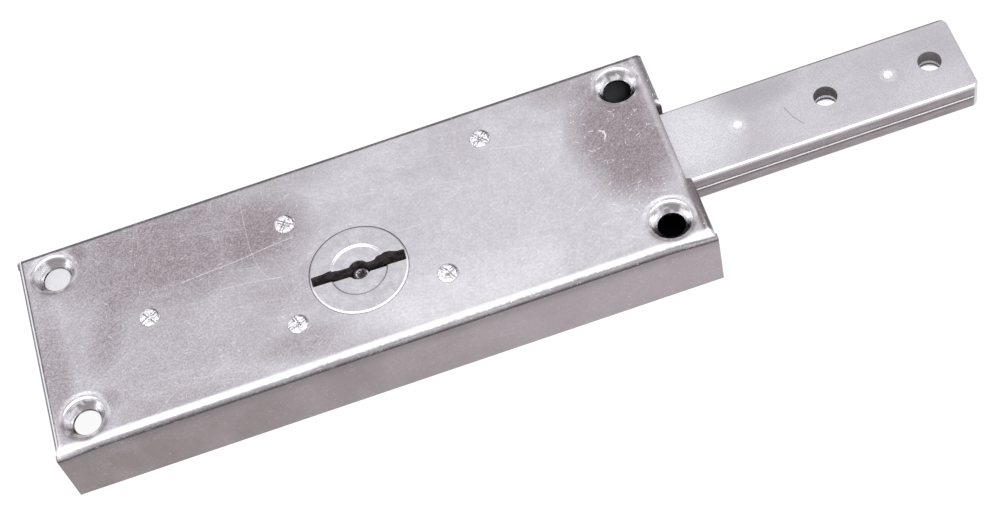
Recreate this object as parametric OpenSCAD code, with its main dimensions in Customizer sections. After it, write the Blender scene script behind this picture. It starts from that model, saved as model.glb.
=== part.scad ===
// Roller shutter lock: a folded sheet case with a laminated sliding bolt,
// a keyway rotor and five pivoted levers. Millimetres, +Z out of the face,
// +X along the bolt, origin at the centre of the case's back plane.

/* [Case] */
// Length of the case
case_l = 155; // [152:1:160]
// Width of the case
case_w = 55; // [54:1:60]
// Depth of the case from its back plane to its face
case_h = 19; // [18.6:0.2:21]
// Thickness of the folded sheet
sheet_t = 1.5; // [1.3:0.1:1.6]
// Outer radius of the folds round the face
bend_r = 2; // [1.8:0.1:2.4]
// How far the long flaps stand past the end flaps
horn = 0.3; // [0.2:0.1:0.5]
// Width of the slit beside each end flap
corner_slit = 0.3; // [0.2:0.1:0.4]
// Thickness of the back cover
cover_t = 1.5; // [1.2:0.1:1.7]
// Length of the open well at the end away from the bolt
well_l = 17.5; // [16:0.5:19]

/* [Fixing holes] */
// Distance of the fixing holes from the ends of the case
fix_edge_x = 8.5; // [8:0.1:9]
// Distance of the fixing holes from the sides of the case
fix_edge_y = 7.5; // [7.2:0.1:8]
// Diameter of a fixing hole
fix_d = 6.3; // [6:0.1:6.6]
// Diameter of the pressed countersink at the face
sink_d = 10.9; // [10.6:0.1:11.4]
// Depth of the cone of the countersink
sink_depth = 2.1; // [1.9:0.1:2.3]
// Straight depth of the hole under the cone
sink_land = 0.9; // [0.7:0.1:1.1]

/* [Keyway rotor] */
// Rotor centre along the case
rotor_x = -1; // [-1.6:0.2:-0.4]
// Rotor centre across the case
rotor_y = -6; // [-6.3:0.1:-5.7]
// Diameter of the rotor at the face
rotor_d = 23.2; // [23:0.1:24]
// How far the rotor stands proud of the face
rotor_proud = 0.3; // [0.2:0.1:0.5]
// Diameter of the shallow recess in the rotor
rotor_recess_d = 13; // [12.6:0.2:13.6]
// Depth of the recess
rotor_recess_h = 0.4; // [0.3:0.1:0.5]
// Running clearance round the rotor
rotor_gap = 0.08; // [0.06:0.01:0.1]
// Swept radius of the key bits
key_r = 11; // [10.8:0.1:11.2]
// Diameter of the key shank's hole
key_hub_d = 5.1; // [5:0.1:5.4]
// Width of the key slot
key_slot_w = 2.3; // [2.1:0.1:2.5]
// Height of the ward bumps above the slot
key_ward_h = 0.9; // [0.7:0.1:1.1]
// Diameter of the fixed pin the key turns on
key_pin_d = 3.7; // [3.5:0.1:3.9]
// Depth of the pin's end below the rotor face
key_pin_sink = 2.1; // [1.8:0.1:2.6]

/* [Posts] */
// Diameter of the staked post ends seen in the face
stake_d = 5; // [4.8:0.1:5.2]
// Lever pivot post along the case
pivot_x = -49.7; // [-50.5:0.1:-49]
// Diameter of the lever pivot
pivot_d = 5; // [4.8:0.1:5.2]
// Lever stop post along the case
stop_x = -17.6; // [-18:0.1:-17.2]
// Lever stop post across the case
stop_y = -14.6; // [-15:0.1:-14.4]
// Diameter of the sleeve on the stop post
stop_sleeve_d = 8; // [7.6:0.1:8.4]
// Tail guide post along the case
tail_post_x = -14.3; // [-15:0.1:-13.8]
// Tail guide post across the case
tail_post_y = 12.65; // [12.5:0.05:13]
// Diameter of the tail guide post beside the tail
tail_post_d = 4; // [3.9:0.05:4.1]
// Spring post along the case
spring_x = 34.8; // [34:0.2:36]
// Spring post across the case
spring_y = 18; // [17.6:0.2:18.6]
// Diameter of the spring post where the springs bear
spring_post_d = 5; // [4.8:0.1:5.2]
// Bolt guide post along the case
guide_x = 17.9; // [17.5:0.1:18.4]
// Bolt guide post across the case
guide_y = -14.5; // [-14.8:0.1:-14.3]
// Thickness of the plate that holds the rotor in
keeper_t = 1.3; // [1.1:0.1:1.4]

/* [Bolt] */
// Width of the bolt
bolt_w = 21; // [20.6:0.1:21.2]
// Thickness of each of the two bolt plates
plate_t = 3.8; // [3.6:0.1:3.9]
// How far the thrown bolt stands out of the case
bolt_out = 69; // [66:1:74]
// How far the top of the bolt lies below the face
bolt_drop = 2.6; // [2.4:0.1:2.9]
// Travel of the bolt
bolt_throw = 28; // [27:0.5:28.5]
// Radius of the corners at the tip
tip_r = 1.8; // [1.4:0.1:2.4]
// Bevel on the upper edges of each plate
plate_bevel = 0.4; // [0.3:0.1:0.5]
// Distance of the outer link hole from the tip
link_end = 8; // [7.5:0.1:9]
// Spacing of the two link holes
link_span = 25.4; // [25:0.1:26]
// Diameter of the link holes
link_d = 5.4; // [5.2:0.1:5.6]
// Diameter of the cup under each link hole
link_cup_d = 8.4; // [8:0.1:9]
// Depth of the cup under each link hole
link_cup_h = 2.6; // [2.2:0.1:2.8]
// Distance of the outer rivet from the tip
rivet_end = 18.1; // [17.6:0.1:19]
// Spacing of the two rivets outside the case
rivet_span = 36.6; // [35:0.2:37]
// Diameter of the rivets
rivet_d = 2.2; // [2:0.1:2.4]
// Where the tail of the thrown bolt ends
tail_end = -40; // [-42:0.5:-38]
// Lower edge of the tail
tail_low = 2.6; // [2.5:0.1:2.8]
// Diameter of the stump that runs in the lever gates
stump_d = 3.6; // [3.4:0.1:3.8]
// Stump and gate position across the case
stump_y = 3; // [2.8:0.1:3.1]

/* [Levers] */
// Gap between neighbouring levers
lever_gap = 0.1; // [0.08:0.01:0.12]
// Angle that the levers drop by, in degrees
lever_drop = 2.3; // [2:0.1:2.4]
// Thickness of the lever springs
leaf_t = 0.4; // [0.3:0.05:0.5]

/* [Hidden] */
$fn = 64;

zinc = [0.76, 0.75, 0.77];
steel = [0.62, 0.62, 0.64];
brass = [0.78, 0.64, 0.36];

lever_count = 5;
fit_gap = 0.02;
slide_gap = 0.1;
pivot_gap = 0.05;
rest_gap = 0.15;
cut_over = 1;

// Case
face_in = case_h - sheet_t;
end_out = case_l / 2 - horn;
end_in = end_out - sheet_t;
side_in = case_w / 2 - sheet_t;
cover_gap = 0.1;
sink_wall = 1.1;
fix_clear_r = fix_d / 2 + 0.4;
fix_span_x = case_l - 2 * fix_edge_x;
fix_span_y = case_w - 2 * fix_edge_y;
cover_start = well_l - case_l / 2;
opening_gap = 0.3;
opening_play = 0.6;
opening_rest = 0.2;
opening_low = -bolt_w / 2 - opening_gap;
opening_high = bolt_w / 2 + opening_gap + opening_play;

// Heights
bolt_top = case_h - bolt_drop;
mid_z = bolt_top - plate_t;
bolt_z = mid_z - plate_t;
rest_z = bolt_z - slide_gap;
collar_t = 0.35;
collar_z = bolt_z - rest_gap - collar_t;
pack_gap = 0.3;
pack_z = cover_t + pack_gap;
pack_top = collar_z - slide_gap;
lever_pitch = (pack_top - pack_z + lever_gap) / lever_count;
lever_t = lever_pitch - lever_gap;
keeper_gap = 0.2;
keeper_z = mid_z + keeper_gap;
keeper_top = keeper_z + keeper_t;

// Rotor
rotor_r = rotor_d / 2;
flange_r = rotor_r + 1.8;
flange_low = keeper_top + slide_gap;
flange_high = face_in - slide_gap;
slot_half = key_r + slide_gap;
slot_turn = -1.9;
slot_rise = 0.2;
ward_in = 4.9;
ward_out = 8.7;

// Posts
core_d = 4.4;
collar_r = 4;
neck_d = 4.6;
tail_sleeve_d = 6.8;
guide_sleeve_r = -guide_y - bolt_w / 2 - slide_gap;
guide_rest_d = 10.8;
spring_shank_d = 7.2;
stake_out = 0.05;
stake_mark_w = 0.5;
stake_mark_h = 0.2;
keeper_eye_r = 4.3;
keeper_arm_half = 4;
screw_d = 2.5;
screw_head_d = 5;
screw_tip = 7.5;
screw_bore_top = 8.5;
screw_slot_w = 0.7;
screw_slot_h = 0.5;

// Bolt
tip_x = case_l / 2 + bolt_out;
full_x = rotor_x + key_r + bolt_throw + 1;
stump_x = full_x + 7;
top_plate_x = guide_x + keeper_eye_r + bolt_throw + 0.8;
tail_top = tail_post_y - tail_post_d / 2 - rest_gap;
talon_reach = bolt_throw / 4;
talon_w = 5.4;
talon_top = rotor_y + key_r + 0.4;
stump_tenon_d = 2.8;
rivet_dish = 0.3;

// Levers
belly = rotor_y + key_r + slide_gap;
arm_gap = 0.3;
arm_top = tail_post_y - tail_sleeve_d / 2 - arm_gap;
arm_top_run = 17;
arm_low_run = 26;
arm_low_start = 4;
arm_low_drop = 4.2;
eye_r = 6;
gate_half = stump_d / 2 + 0.3;
pocket_half = stump_d / 2 + 0.6;
head_start = stump_x - bolt_throw - pocket_half - 2.2;
head_end = stump_x + 6;
head_low = stump_y - gate_half - 3.4;
foot_half = 2.5;
foot_gap = 0.08;
foot_low = stop_y + stop_sleeve_d / 2 + (stop_x - pivot_x) * sin(lever_drop) + foot_gap;
belly_cuts = [0.3, 1.1, 0.6, 1.4, 0.2];
belly_arc_r = 60;

// Lever springs
leaf_reach = 10;
leaf_bite_x = rotor_x + leaf_reach;
leaf_bite_y = arm_top - 0.7;
leaf_touch_y = spring_y - spring_post_d / 2 - pivot_gap - leaf_t / 2;
leaf_lean = 1.7;
leaf_centre_x = spring_x + leaf_lean;
leaf_run = leaf_centre_x - leaf_bite_x;
leaf_centre_y = (leaf_touch_y * leaf_touch_y - leaf_bite_y * leaf_bite_y
  - leaf_run * leaf_run + leaf_lean * leaf_lean) / (2 * (leaf_touch_y - leaf_bite_y));
leaf_rise = leaf_touch_y - leaf_centre_y;
leaf_r = sqrt(leaf_lean * leaf_lean + leaf_rise * leaf_rise);
leaf_start = leaf_bite_x - 2.5;
leaf_stop = spring_x + 3.7;

function pocket_top(x) = stump_y + stump_d / 2 + (x - pivot_x) * sin(lever_drop) + 0.4;

// Flat outline of a folded section, as wide as w and as high as h
module fold_outline(w, h, r, low) {
  translate([-w / 2, low]) square([w, h - r - low]);
  translate([-w / 2 + r, low]) square([w - 2 * r, h - low]);
  translate([-w / 2 + r, h - r]) circle(r);
  translate([w / 2 - r, h - r]) circle(r);
}

// Block rounded over along all four edges of its top
module folded_block(l, w, h, r, low) {
  intersection() {
    translate([-l / 2, 0, 0]) rotate([90, 0, 90]) linear_extrude(l) fold_outline(w, h, r, low);
    translate([0, w / 2, 0]) rotate([90, 0, 0]) linear_extrude(w) fold_outline(l, h, r, low);
  }
}

module at_fixings() {
  for (sx = [-1, 1]) {
    for (sy = [-1, 1]) {
      translate([sx * fix_span_x / 2, sy * fix_span_y / 2, 0]) children();
    }
  }
}

// The four posts that take a cover screw
module at_screws() {
  translate([pivot_x, 0, 0]) children();
  translate([stop_x, stop_y, 0]) children();
  translate([spring_x, spring_y, 0]) children();
  translate([guide_x, guide_y, 0]) children();
}

module long_flap(side) {
  translate([-case_l / 2, side > 0 ? side_in : -case_w / 2, 0])
    cube([case_l, sheet_t, case_h - bend_r]);
}

module corner_slits() {
  slit_l = sheet_t + horn + cut_over;
  for (sx = [-1, 1]) {
    for (sy = [-1, 1]) {
      translate([sx > 0 ? end_in : -end_in - slit_l, sy > 0 ? side_in - corner_slit : -side_in, -cut_over])
        cube([slit_l, corner_slit, case_h - bend_r + cut_over]);
    }
  }
}

module case_shell() {
  color(zinc) difference() {
    union() {
      difference() {
        union() {
          folded_block(2 * end_out, case_w, case_h, bend_r, 0);
          long_flap(1);
          long_flap(-1);
        }
        folded_block(2 * end_in, 2 * side_in, face_in, bend_r - sheet_t, -cut_over);
      }
      at_fixings() translate([0, 0, case_h - sink_depth - sink_land])
        cylinder(r1 = fix_d / 2 + sink_wall, r2 = sink_d / 2 + sink_wall,
          h = sink_depth + sink_land - sheet_t / 2);
    }
    at_fixings() {
      translate([0, 0, case_h - sink_depth])
        cylinder(r1 = fix_d / 2, r2 = sink_d / 2, h = sink_depth);
      translate([0, 0, case_h - sink_depth - sink_land - cut_over])
        cylinder(r = fix_d / 2, h = sink_depth + sink_land + 2 * cut_over);
    }
    corner_slits();
    translate([rotor_x, rotor_y, face_in - cut_over])
      cylinder(r = rotor_r + rotor_gap, h = sheet_t + 2 * cut_over);
    at_screws() stake_hole();
    translate([tail_post_x, tail_post_y, 0]) stake_hole();
    translate([end_in, opening_low, bolt_z - opening_rest])
      cube([sheet_t + horn + cut_over, opening_high - opening_low, case_h]);
  }
}

module stake_hole() {
  translate([0, 0, face_in - cut_over])
    cylinder(d = stake_d + 2 * fit_gap, h = sheet_t + 2 * cut_over);
}

module back_cover() {
  color(zinc) difference() {
    translate([cover_start, -side_in + cover_gap, 0])
      cube([end_in - cover_gap - cover_start, 2 * (side_in - cover_gap), cover_t]);
    for (sy = [-1, 1]) {
      translate([fix_span_x / 2, sy * fix_span_y / 2, -cut_over])
        cylinder(r = fix_clear_r, h = cover_t + 2 * cut_over);
    }
    at_screws() screw_form(fit_gap, cover_t + cut_over);
    translate([rotor_x, rotor_y, -cut_over])
      cylinder(d = key_pin_d + 2 * fit_gap, h = cover_t + 2 * cut_over);
  }
}

// Countersunk screw, its head level with the back plane
module screw_form(grow, tip) {
  head_h = (screw_head_d - screw_d) / 2;
  cylinder(r1 = screw_head_d / 2 + grow, r2 = screw_d / 2 + grow, h = head_h);
  cylinder(r = screw_d / 2 + grow, h = tip);
}

module cover_screws() {
  color(steel) at_screws() difference() {
    screw_form(0, screw_tip);
    translate([-screw_head_d, -screw_slot_w / 2, -cut_over])
      cube([2 * screw_head_d, screw_slot_w, cut_over + screw_slot_h]);
  }
}

module screw_bore() {
  translate([0, 0, cover_t - cut_over])
    cylinder(d = screw_d + 2 * fit_gap, h = screw_bore_top - cover_t + cut_over);
}

// Cross left by the punch in a staked post end
module stake_mark() {
  for (turn = [45, 135]) {
    translate([0, 0, case_h + stake_out - stake_mark_h / 2 + cut_over / 2]) rotate([0, 0, turn])
      cube([stake_d * 0.6, stake_mark_w, stake_mark_h + cut_over], center = true);
  }
}

// Post turned to one diameter below a step and another above it, staked in the face
module stepped_post(low_d, step_z, high_d) {
  translate([0, 0, cover_t]) cylinder(d = low_d, h = step_z - cover_t);
  translate([0, 0, step_z]) cylinder(d = high_d, h = face_in - step_z);
  translate([0, 0, face_in]) cylinder(d = stake_d, h = sheet_t + stake_out);
}

module pivot_post() {
  neck_z = collar_z + collar_t;
  color(steel) translate([pivot_x, 0, 0]) difference() {
    union() {
      translate([0, 0, cover_t]) cylinder(d = pivot_d, h = neck_z - cover_t);
      translate([0, 0, collar_z]) cylinder(r = collar_r, h = collar_t);
      translate([0, 0, collar_z]) cylinder(d = neck_d, h = face_in - collar_z);
      translate([0, 0, keeper_z]) cylinder(r = collar_r, h = face_in - keeper_z);
      translate([0, 0, face_in]) cylinder(d = stake_d, h = sheet_t + stake_out);
    }
    screw_bore();
    stake_mark();
  }
}

module stop_post() {
  color(steel) translate([stop_x, stop_y, 0]) difference() {
    stepped_post(core_d, keeper_top, stop_sleeve_d);
    screw_bore();
    stake_mark();
  }
}

module tail_post() {
  color(steel) translate([tail_post_x, tail_post_y, 0]) difference() {
    stepped_post(tail_post_d, keeper_top, tail_sleeve_d);
    stake_mark();
  }
}

module spring_post() {
  color(steel) translate([spring_x, spring_y, 0]) difference() {
    stepped_post(spring_post_d, pack_top + 0.6, spring_shank_d);
    screw_bore();
    stake_mark();
  }
}

module guide_post() {
  color(steel) translate([guide_x, guide_y, 0]) difference() {
    stepped_post(core_d, keeper_top, 2 * guide_sleeve_r);
    screw_bore();
    stake_mark();
  }
}

module sleeve_bore(d) {
  translate([0, 0, -cut_over]) cylinder(d = d + 2 * fit_gap, h = case_h);
}

module stop_sleeve() {
  color(steel) translate([stop_x, stop_y, 0]) difference() {
    translate([0, 0, cover_t]) cylinder(d = stop_sleeve_d, h = keeper_z - cover_t);
    sleeve_bore(core_d);
  }
}

module tail_sleeve() {
  color(steel) translate([tail_post_x, tail_post_y, 0]) difference() {
    translate([0, 0, cover_t]) cylinder(d = tail_sleeve_d, h = rest_z - cover_t);
    sleeve_bore(tail_post_d);
  }
}

module guide_sleeve() {
  color(steel) translate([guide_x, guide_y, 0]) difference() {
    union() {
      translate([0, 0, cover_t]) cylinder(d = guide_rest_d, h = rest_z - cover_t);
      translate([0, 0, rest_z]) cylinder(r = guide_sleeve_r, h = keeper_z - rest_z);
    }
    sleeve_bore(core_d);
  }
}

module pivot_washer() {
  color(steel) translate([pivot_x, 0, 0]) difference() {
    translate([0, 0, cover_t]) cylinder(r = eye_r, h = pack_gap - pivot_gap);
    sleeve_bore(pivot_d);
  }
}

module keeper_arm(x, y) {
  translate([x, y]) circle(keeper_eye_r);
  translate([rotor_x, rotor_y]) rotate(atan2(y - rotor_y, x - rotor_x))
    translate([0, -keeper_arm_half]) square([norm([x - rotor_x, y - rotor_y]), 2 * keeper_arm_half]);
}

module rotor_keeper() {
  color(zinc) translate([0, 0, keeper_z]) linear_extrude(keeper_t) difference() {
    union() {
      translate([rotor_x, rotor_y]) circle(flange_r + 1.6);
      keeper_arm(stop_x, stop_y);
      keeper_arm(tail_post_x, tail_post_y);
      keeper_arm(guide_x, guide_y);
    }
    translate([rotor_x, rotor_y]) circle(key_r + 0.4);
    translate([stop_x, stop_y]) circle(core_d / 2 + fit_gap);
    translate([tail_post_x, tail_post_y]) circle(tail_post_d / 2 + fit_gap);
    translate([guide_x, guide_y]) circle(core_d / 2 + fit_gap);
  }
}

module key_pin() {
  foot_t = 0.6;
  pin_top = case_h + rotor_proud - key_pin_sink;
  tip_h = 0.3;
  dish_h = 0.8;
  color(steel) translate([rotor_x, rotor_y, 0]) difference() {
    union() {
      cylinder(d = key_pin_d, h = pin_top - tip_h);
      translate([0, 0, cover_t]) cylinder(d = key_pin_d + 2, h = foot_t);
      translate([0, 0, pin_top - tip_h])
        cylinder(r1 = key_pin_d / 2, r2 = key_pin_d / 2 - tip_h, h = tip_h);
    }
    translate([0, 0, pin_top - dish_h]) cylinder(d = key_pin_d / 2, h = dish_h + cut_over);
  }
}

module key_slot() {
  translate([-slot_half, slot_rise - key_slot_w / 2]) square([2 * slot_half, key_slot_w]);
  for (side = [-1, 1]) {
    polygon([
      [side * ward_in, slot_rise],
      [side * ward_out, slot_rise],
      [side * ward_out, slot_rise + key_slot_w / 2],
      [side * (ward_out - 0.8), slot_rise + key_slot_w / 2 + key_ward_h],
      [side * (ward_in + 0.8), slot_rise + key_slot_w / 2 + key_ward_h],
      [side * ward_in, slot_rise + key_slot_w / 2]
    ]);
  }
  circle(d = key_hub_d);
}

module keyway_rotor() {
  color(zinc) translate([rotor_x, rotor_y, 0]) difference() {
    union() {
      translate([0, 0, flange_low]) cylinder(r = flange_r, h = flange_high - flange_low);
      translate([0, 0, flange_low]) cylinder(r = rotor_r, h = case_h + rotor_proud - flange_low);
    }
    translate([0, 0, case_h + rotor_proud - rotor_recess_h])
      cylinder(d = rotor_recess_d, h = rotor_recess_h + cut_over);
    translate([0, 0, flange_low - cut_over]) rotate([0, 0, slot_turn])
      linear_extrude(case_h) key_slot();
  }
}

// Flat outline of the bolt outside the case, from a start to the rounded tip
module bar_outline(start) {
  translate([start, -bolt_w / 2]) square([tip_x - start - tip_r, bolt_w]);
  translate([tip_x - tip_r - 1, -bolt_w / 2 + tip_r]) square([tip_r + 1, bolt_w - 2 * tip_r]);
  for (side = [-1, 1]) {
    translate([tip_x - tip_r, side * (bolt_w / 2 - tip_r)]) circle(tip_r);
  }
}

// Section across the bolt plate with its upper edges bevelled
module bevel_outline(low, high) {
  polygon([
    [low, 0],
    [high, 0],
    [high, plate_t - plate_bevel],
    [high - plate_bevel, plate_t],
    [low + plate_bevel, plate_t],
    [low, plate_t - plate_bevel]
  ]);
}

module plate_bar(start, z) {
  intersection() {
    translate([0, 0, z]) linear_extrude(plate_t) bar_outline(start);
    translate([start, 0, z]) rotate([90, 0, 90])
      linear_extrude(tip_x - start) bevel_outline(-bolt_w / 2, bolt_w / 2);
    translate([0, bolt_w / 2, z]) rotate([90, 0, 0])
      linear_extrude(bolt_w) bevel_outline(start, tip_x);
  }
}

module at_rivets() {
  for (x = [top_plate_x + 4.2, tip_x - rivet_end - rivet_span, tip_x - rivet_end]) {
    translate([x, 0, 0]) children();
  }
}

module bolt_holes() {
  for (x = [tip_x - link_end - link_span, tip_x - link_end]) {
    translate([x, 0, bolt_z - cut_over]) cylinder(d = link_d, h = 2 * (plate_t + cut_over));
  }
  at_rivets() translate([0, 0, bolt_z - cut_over])
    cylinder(d = rivet_d + 2 * fit_gap, h = 2 * (plate_t + cut_over));
}

// Cups in the underside, which leave room for the head of a link pin
module link_cups() {
  for (x = [tip_x - link_end - link_span, tip_x - link_end]) {
    translate([x, 0, bolt_z - cut_over]) cylinder(d = link_cup_d, h = link_cup_h + cut_over);
  }
}

module bolt_top_plate() {
  color(zinc) difference() {
    plate_bar(top_plate_x, mid_z);
    bolt_holes();
  }
}

// The tail that passes the rotor, with a notch for each half turn of the key
module tail_outline() {
  difference() {
    translate([tail_end, tail_low]) square([full_x + 2 - tail_end, tail_top - tail_low]);
    for (step = [0, 1]) {
      translate([rotor_x + talon_reach + step * bolt_throw / 2 - talon_w / 2, tail_low - cut_over])
        square([talon_w, talon_top - tail_low + cut_over]);
    }
  }
}

module bolt_bottom_plate() {
  color(zinc) difference() {
    union() {
      plate_bar(full_x, bolt_z);
      translate([0, 0, bolt_z]) linear_extrude(plate_t) tail_outline();
    }
    bolt_holes();
    link_cups();
    translate([stump_x, stump_y, bolt_z - cut_over])
      cylinder(d = stump_tenon_d + 2 * fit_gap, h = plate_t + 2 * cut_over);
  }
}

module bolt_rivets() {
  color(steel) at_rivets() difference() {
    translate([0, 0, bolt_z]) cylinder(d = rivet_d, h = 2 * plate_t);
    translate([0, 0, bolt_top - rivet_dish])
      cylinder(r1 = 0.2, r2 = rivet_d / 2 - 0.1, h = rivet_dish);
  }
}

module bolt_stump() {
  stump_low = cover_t + 0.4;
  color(steel) translate([stump_x, stump_y, 0]) {
    translate([0, 0, stump_low]) cylinder(d = stump_d, h = bolt_z - stump_low);
    translate([0, 0, bolt_z - 0.1]) cylinder(d = stump_tenon_d, h = plate_t + 0.1);
  }
}

// Ring sector that a lever spring follows
module leaf_outline(t) {
  intersection() {
    translate([leaf_centre_x, leaf_centre_y]) difference() {
      circle(leaf_r + t / 2, $fn = 256);
      circle(leaf_r - t / 2, $fn = 256);
    }
    translate([leaf_start, 0]) square([leaf_stop - leaf_start, case_w]);
  }
}

module lever_outline(cut) {
  head_top_start = pocket_top(stump_x - bolt_throw) + 2.2;
  head_top_end = pocket_top(stump_x) + 2.2;
  gate_start = stump_x - bolt_throw - pocket_half;
  difference() {
    union() {
      translate([pivot_x, 0]) circle(eye_r);
      polygon([
        [pivot_x, eye_r - 0.4],
        [pivot_x + arm_low_start, -arm_low_drop],
        [pivot_x + arm_low_run, belly],
        [head_start + 4, belly],
        [head_start + 4, arm_top],
        [pivot_x + arm_top_run, arm_top]
      ]);
      translate([stop_x - foot_half, foot_low]) square([2 * foot_half, belly + 0.5 - foot_low]);
      polygon([
        [head_start, arm_top],
        [head_start, head_low + 1.5],
        [head_start + 1.5, head_low],
        [head_end - 1.5, head_low],
        [head_end, head_low + 1.5],
        [head_end, head_top_end - 1.5],
        [head_end - 1.5, head_top_end],
        [head_start + 2.5, head_top_start]
      ]);
    }
    translate([pivot_x, 0]) circle(pivot_d / 2 + pivot_gap);
    translate([gate_start, stump_y - gate_half])
      square([bolt_throw + 2 * pocket_half, 2 * gate_half]);
    for (step = [0, 1, 2]) {
      pocket_x = stump_x - step * bolt_throw / 2;
      translate([pocket_x - pocket_half, stump_y])
        square([2 * pocket_half, pocket_top(pocket_x) - stump_y]);
    }
    intersection() {
      translate([rotor_x, belly + cut - belly_arc_r]) circle(belly_arc_r, $fn = 256);
      translate([rotor_x - key_r - 1, belly - 1]) square([2 * key_r + 2, arm_top - belly]);
    }
    leaf_outline(leaf_t + 2 * fit_gap);
  }
}

module lever(number) {
  color(brass) translate([0, 0, pack_z + (number - 1) * lever_pitch])
    linear_extrude(lever_t) lever_outline(belly_cuts[number - 1]);
}

module lever_spring(number) {
  color(steel) translate([0, 0, pack_z + (number - 1) * lever_pitch + 0.1])
    linear_extrude(lever_t - 0.2) leaf_outline(leaf_t);
}

case_shell();
back_cover();
cover_screws();
rotor_keeper();
key_pin();
pivot_post();
stop_post();
tail_post();
spring_post();
guide_post();
stop_sleeve();
tail_sleeve();
guide_sleeve();
pivot_washer();
keyway_rotor();
bolt_top_plate();
bolt_bottom_plate();
bolt_rivets();
bolt_stump();
lever(1);  // lever_1
lever(2);  // lever_2
lever(3);  // lever_3
lever(4);  // lever_4
lever(5);  // lever_5
lever_spring(1);  // lever_spring_1
lever_spring(2);  // lever_spring_2
lever_spring(3);  // lever_spring_3
lever_spring(4);  // lever_spring_4
lever_spring(5);  // lever_spring_5
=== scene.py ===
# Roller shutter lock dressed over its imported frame: metres, +Z out of the face, +X along the bolt
import bpy
import bmesh
import math
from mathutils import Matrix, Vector


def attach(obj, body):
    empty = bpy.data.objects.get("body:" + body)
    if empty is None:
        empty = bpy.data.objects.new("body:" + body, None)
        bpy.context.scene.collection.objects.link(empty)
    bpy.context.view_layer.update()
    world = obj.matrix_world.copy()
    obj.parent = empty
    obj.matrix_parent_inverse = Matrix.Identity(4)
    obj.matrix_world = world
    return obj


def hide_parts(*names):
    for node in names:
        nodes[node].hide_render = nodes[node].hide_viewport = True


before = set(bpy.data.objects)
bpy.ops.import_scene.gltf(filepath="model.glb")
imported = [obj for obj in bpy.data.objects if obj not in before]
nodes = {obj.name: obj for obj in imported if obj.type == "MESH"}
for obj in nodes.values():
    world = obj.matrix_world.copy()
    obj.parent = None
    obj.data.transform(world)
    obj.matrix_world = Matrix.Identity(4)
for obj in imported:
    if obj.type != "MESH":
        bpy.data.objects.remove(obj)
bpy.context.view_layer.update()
mm = 0.001
print("frame loaded with", len(nodes), "nodes")


# Modelling tools, in millimetres
def clearPick():
    if bpy.context.object and bpy.context.object.mode != "OBJECT":
        bpy.ops.object.mode_set(mode="OBJECT")
    bpy.ops.object.select_all(action="DESELECT")


def work(piece):
    clearPick()
    piece.select_set(True)
    bpy.context.view_layer.objects.active = piece


def settle(piece):
    # place, turn and size go into the mesh
    work(piece)
    bpy.ops.object.transform_apply(location=True, rotation=True, scale=True)


def startBox(name, low, high):
    clearPick()
    bpy.ops.mesh.primitive_cube_add(size=1, location=[(a + b) / 2 * mm for a, b in zip(low, high)])
    piece = bpy.context.object
    piece.name = name
    piece.scale = [(b - a) * mm for a, b in zip(low, high)]
    settle(piece)
    return piece


def startRod(name, place, radius, low, high, sides=64):
    clearPick()
    bpy.ops.mesh.primitive_cylinder_add(
        vertices=sides, radius=radius * mm, depth=(high - low) * mm,
        location=(place[0] * mm, place[1] * mm, (low + high) / 2 * mm))
    piece = bpy.context.object
    piece.name = name
    settle(piece)
    return piece


def drawLine(name, points, closed):
    # one vertex extruded from point to point
    clearPick()
    bpy.ops.mesh.primitive_plane_add(size=mm)
    piece = bpy.context.object
    piece.name = name
    bpy.ops.object.mode_set(mode="EDIT")
    bpy.ops.mesh.select_mode(type="VERT")
    bpy.ops.mesh.merge(type="CENTER")
    start = Vector(points[0])
    bpy.ops.transform.translate(value=start * mm)
    ends = points[1:] + ([points[0]] if closed else [])
    last = start
    for point in ends:
        bpy.ops.mesh.extrude_region_move(TRANSFORM_OT_translate={"value": (Vector(point) - last) * mm})
        last = Vector(point)
    bpy.ops.mesh.select_all(action="SELECT")
    bpy.ops.mesh.remove_doubles(threshold=0.000001)
    return piece


def turnShape(name, profile, place, steps=96, closed=True):
    # an outline of (radius, height) spun once round its own upright axis
    piece = drawLine(name, [(radius, 0, height) for radius, height in profile], closed)
    bpy.ops.mesh.select_all(action="SELECT")
    bpy.ops.mesh.spin(steps=steps, angle=2 * math.pi, center=(0, 0, 0), axis=(0, 0, 1))
    bpy.ops.mesh.select_all(action="SELECT")
    bpy.ops.mesh.remove_doubles(threshold=0.000002)
    bpy.ops.mesh.normals_make_consistent(inside=False)
    bpy.ops.object.mode_set(mode="OBJECT")
    piece.location = (place[0] * mm, place[1] * mm, 0)
    settle(piece)
    return piece


def stampShape(name, outline, low, high):
    # a flat outline filled and pulled up to a plate
    piece = drawLine(name, [(x, y, low) for x, y in outline], True)
    bpy.ops.mesh.select_all(action="SELECT")
    bpy.ops.mesh.edge_face_add()
    bpy.ops.mesh.extrude_region_move(TRANSFORM_OT_translate={"value": (0, 0, (high - low) * mm)})
    bpy.ops.mesh.select_all(action="SELECT")
    bpy.ops.mesh.normals_make_consistent(inside=False)
    bpy.ops.object.mode_set(mode="OBJECT")
    return piece


def pick(piece, kind, test):
    # leaves the piece in edit mode with the faces or edges that pass the test, in millimetres
    work(piece)
    bpy.ops.object.mode_set(mode="EDIT")
    bpy.ops.mesh.select_mode(type=kind)
    bpy.ops.mesh.select_all(action="DESELECT")
    shape = bmesh.from_edit_mesh(piece.data)
    if kind == "FACE":
        for face in shape.faces:
            face.select_set(bool(test(face.calc_center_median() / mm, face.normal)))
    else:
        for edge in shape.edges:
            edge.select_set(bool(test(edge.verts[0].co / mm, edge.verts[1].co / mm)))
    bmesh.update_edit_mesh(piece.data)


def leaveEdit():
    bpy.ops.object.mode_set(mode="OBJECT")


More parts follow.
